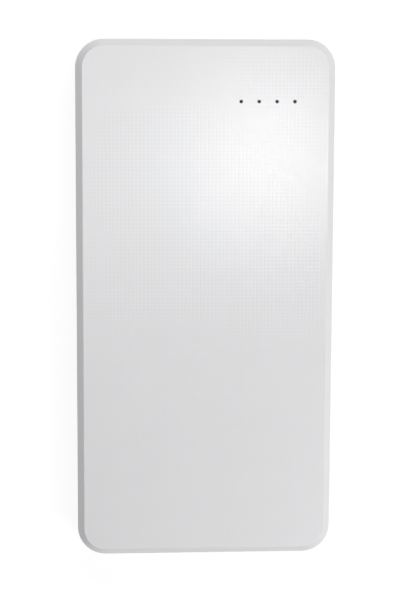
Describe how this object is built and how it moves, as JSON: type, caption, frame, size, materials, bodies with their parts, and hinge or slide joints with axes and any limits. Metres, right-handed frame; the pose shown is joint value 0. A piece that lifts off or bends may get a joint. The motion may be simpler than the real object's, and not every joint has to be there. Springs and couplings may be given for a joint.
{
  "type": "power bank",
  "caption": "Slim rectangular power bank with a chamfered white case, a fine square grid on its face, indicator windows, a side button and charging sockets in one end.",
  "frame": {"origin": "middle of the back face, the face that the bank lies on", "axes": "+Z out of the front face with the indicator windows, +Y towards the end with the sockets, +X towards the side with the button"},
  "size_m": [0.0739, 0.149, 0.0154],
  "materials": {
    "case_white": "white moulded plastic, satin, with a fine square grid on the front face",
    "button_white": "white moulded plastic, smooth",
    "smoke_clear": "smoked clear moulding, glossy",
    "foam_black": "black closed-cell foam",
    "switch_black": "black moulded plastic",
    "plunger_ivory": "ivory moulded plastic",
    "board_green": "green solder mask over glass-fibre board, with tinned pads",
    "screw_steel": "plain steel",
    "socket_steel": "nickel-plated pressed steel",
    "tongue_white": "white moulded insulator",
    "tongue_black": "black moulded insulator",
    "ferrite_grey": "pressed ferrite powder, matt",
    "can_aluminium": "drawn aluminium can",
    "chip_black": "black moulding compound",
    "ceramic_tan": "fired ceramic with tinned ends",
    "resistor_black": "black glaze with tinned ends",
    "led_cream": "cream resin lens",
    "pouch_foil": "aluminium laminate foil, satin",
    "tape_white": "double-sided tape",
    "tape_amber": "amber polyimide tape",
    "paper_tan": "tan insulating paper",
    "tab_nickel": "nickel strip",
    "contact_gold": "gold-plated spring contacts, on the pieces that the visual model adds",
    "thermistor_dark": "epoxy bead on enamelled leads"
  },
  "bodies": {
    "case": {"front_cover": "case_white", "back_cover": "case_white", "lower_cell": "pouch_foil", "upper_cell": "pouch_foil", "lower_terrace_tape": "tape_amber", "upper_terrace_tape": "tape_amber", "base_tape": "tape_white", "cell_tape": "tape_white", "foam_pad": "foam_black", "lower_positive_tab": "tab_nickel", "lower_negative_tab": "tab_nickel", "upper_positive_tab": "tab_nickel", "upper_negative_tab": "tab_nickel", "insulation_sheet": "paper_tan", "thermistor": "thermistor_dark", "main_board": "board_green", "board_screw_1": "screw_steel", "board_screw_2": "screw_steel", "board_screw_3": "screw_steel", "board_screw_4": "screw_steel", "charge_led_1": "led_cream", "charge_led_2": "led_cream", "charge_led_3": "led_cream", "charge_led_4": "led_cream", "light_guide": "smoke_clear", "light_blocker": "foam_black", "tact_switch": "switch_black", "power_inductor": "ferrite_grey", "output_capacitor": "can_aluminium", "input_capacitor": "can_aluminium", "power_chip": "chip_black", "controller_chip": "chip_black", "protection_chip": "chip_black", "mosfet_1": "chip_black", "mosfet_2": "chip_black", "ceramic_capacitor_1": "ceramic_tan", "ceramic_capacitor_2": "ceramic_tan", "ceramic_capacitor_3": "ceramic_tan", "ceramic_capacitor_4": "ceramic_tan", "sense_resistor": "resistor_black", "usb_a_left_shell": "socket_steel", "usb_a_left_tongue": "tongue_white", "usb_a_right_shell": "socket_steel", "usb_a_right_tongue": "tongue_white", "usb_c_shell": "socket_steel", "usb_c_tongue": "tongue_black", "micro_usb_shell": "socket_steel", "micro_usb_tongue": "tongue_black"},
    "button": {"power_button": "button_white"},
    "plunger": {"switch_plunger": "plunger_ivory"}
  },
  "joints": [
    {"name": "power_button_press", "type": "slide", "parent": "case", "child": "button", "axis": [-1, 0, 0], "range_m": [0, 0.0004], "stiffness_N_per_m": 4000},
    {"name": "switch_plunger_press", "type": "slide", "parent": "case", "child": "plunger", "axis": [-1, 0, 0], "range_m": [0, 0.0004]}
  ],
  "couplings": [
    {"joint": "switch_plunger_press", "follows": "power_button_press", "ratio": 1}
  ]
}
